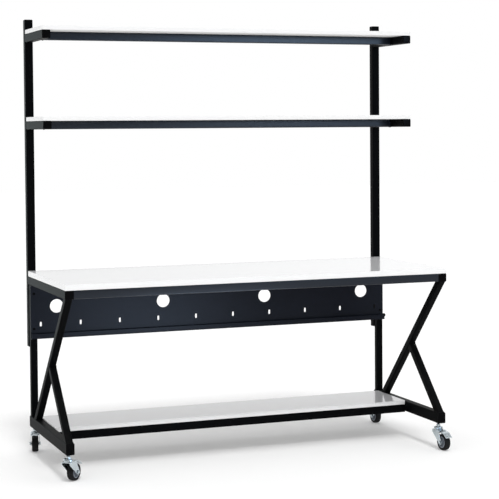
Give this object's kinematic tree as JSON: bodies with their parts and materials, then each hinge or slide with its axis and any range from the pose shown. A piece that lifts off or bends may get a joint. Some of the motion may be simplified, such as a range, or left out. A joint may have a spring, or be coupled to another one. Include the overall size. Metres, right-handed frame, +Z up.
{
  "type": "assembly table",
  "caption": "Workshop assembly table with a laminate top on a K-leg steel frame, shelves on uprights above it, a pierced cable panel, a lower shelf and swivel casters with brakes.",
  "frame": {"origin": "on the floor, midway between the four caster stems", "axes": "+X to the right, +Y from the front to the rear, +Z up"},
  "size_m": [1.8519, 0.8102, 2.0323],
  "materials": {
    "powder_coat": "satin black powder coat",
    "laminate": "white laminate on particle board, semi-gloss",
    "cap_plastic": "black moulded plastic",
    "zinc": "bright zinc plating on pressed steel",
    "hub_plastic": "dark grey moulded plastic",
    "tyre_rubber": "black rubber, matt"
  },
  "bodies": {
    "frame": {"worktop_board": "laminate", "front_rail": "powder_coat", "cable_panel": "powder_coat", "lower_shelf_board": "laminate", "lower_shelf_front_rail": "powder_coat", "lower_shelf_rear_rail": "powder_coat", "upper_shelf_board": "laminate", "upper_shelf_rail": "powder_coat", "upper_shelf_left_arm": "powder_coat", "upper_shelf_left_arm_cap": "cap_plastic", "upper_shelf_right_arm": "powder_coat", "upper_shelf_right_arm_cap": "cap_plastic", "middle_shelf_board": "laminate", "middle_shelf_rail": "powder_coat", "middle_shelf_left_arm": "powder_coat", "middle_shelf_left_arm_cap": "cap_plastic", "middle_shelf_right_arm": "powder_coat", "middle_shelf_right_arm_cap": "cap_plastic", "left_top_arm": "powder_coat", "left_foot": "powder_coat", "left_rear_leg": "powder_coat", "left_long_brace": "powder_coat", "left_short_brace": "powder_coat", "left_top_arm_cap": "cap_plastic", "left_foot_front_cap": "cap_plastic", "left_foot_rear_cap": "cap_plastic", "left_upright": "powder_coat", "left_upright_cap": "cap_plastic", "right_top_arm": "powder_coat", "right_foot": "powder_coat", "right_rear_leg": "powder_coat", "right_long_brace": "powder_coat", "right_short_brace": "powder_coat", "right_top_arm_cap": "cap_plastic", "right_foot_front_cap": "cap_plastic", "right_foot_rear_cap": "cap_plastic", "right_upright": "powder_coat", "right_upright_cap": "cap_plastic", "front_left_caster_stem": "zinc", "rear_left_caster_stem": "zinc", "front_right_caster_stem": "zinc", "rear_right_caster_stem": "zinc"},
    "front_left_caster": {"front_left_caster_fork": "zinc", "front_left_caster_axle": "zinc"},
    "front_left_wheel": {"front_left_wheel_hub": "hub_plastic", "front_left_tyre": "tyre_rubber"},
    "front_left_pedal": {"front_left_brake_pedal": "zinc"},
    "rear_left_caster": {"rear_left_caster_fork": "zinc", "rear_left_caster_axle": "zinc"},
    "rear_left_wheel": {"rear_left_wheel_hub": "hub_plastic", "rear_left_tyre": "tyre_rubber"},
    "front_right_caster": {"front_right_caster_fork": "zinc", "front_right_caster_axle": "zinc"},
    "front_right_wheel": {"front_right_wheel_hub": "hub_plastic", "front_right_tyre": "tyre_rubber"},
    "front_right_pedal": {"front_right_brake_pedal": "zinc"},
    "rear_right_caster": {"rear_right_caster_fork": "zinc", "rear_right_caster_axle": "zinc"},
    "rear_right_wheel": {"rear_right_wheel_hub": "hub_plastic", "rear_right_tyre": "tyre_rubber"}
  },
  "joints": [
    {"name": "front_left_swivel", "type": "hinge", "parent": "frame", "child": "front_left_caster", "pos_m": [-0.89545, -0.318, 0.1], "axis": [0, 0, 1], "continuous": true},
    {"name": "front_left_wheel_spin", "type": "hinge", "parent": "front_left_caster", "child": "front_left_wheel", "pos_m": [-0.86419, -0.28563, 0.038], "axis": [-0.7193, 0.6947, 0], "continuous": true},
    {"name": "front_left_brake_press", "type": "hinge", "parent": "front_left_caster", "child": "front_left_pedal", "pos_m": [-0.87253, -0.29426, 0.0835], "axis": [-0.7193, 0.6947, 0], "range_deg": [0, 10]},
    {"name": "rear_left_swivel", "type": "hinge", "parent": "frame", "child": "rear_left_caster", "pos_m": [-0.89545, 0.318, 0.1], "axis": [0, 0, 1], "continuous": true},
    {"name": "rear_left_wheel_spin", "type": "hinge", "parent": "rear_left_caster", "child": "rear_left_wheel", "pos_m": [-0.88571, 0.36193, 0.038], "axis": [-0.9763, 0.2164, 0], "continuous": true},
    {"name": "front_right_swivel", "type": "hinge", "parent": "frame", "child": "front_right_caster", "pos_m": [0.89545, -0.318, 0.1], "axis": [0, 0, 1], "continuous": true},
    {"name": "front_right_wheel_spin", "type": "hinge", "parent": "front_right_caster", "child": "front_right_wheel", "pos_m": [0.89937, -0.36283, 0.038], "axis": [0.9962, 0.0872, 0], "continuous": true},
    {"name": "front_right_brake_press", "type": "hinge", "parent": "front_right_caster", "child": "front_right_pedal", "pos_m": [0.89833, -0.35087, 0.0835], "axis": [0.9962, 0.0872, 0], "range_deg": [0, 10]},
    {"name": "rear_right_swivel", "type": "hinge", "parent": "frame", "child": "rear_right_caster", "pos_m": [0.89545, 0.318, 0.1], "axis": [0, 0, 1], "continuous": true},
    {"name": "rear_right_wheel_spin", "type": "hinge", "parent": "rear_right_caster", "child": "rear_right_wheel", "pos_m": [0.89467, 0.36299, 0.038], "axis": [-0.9998, -0.0175, 0], "continuous": true}
  ]
}
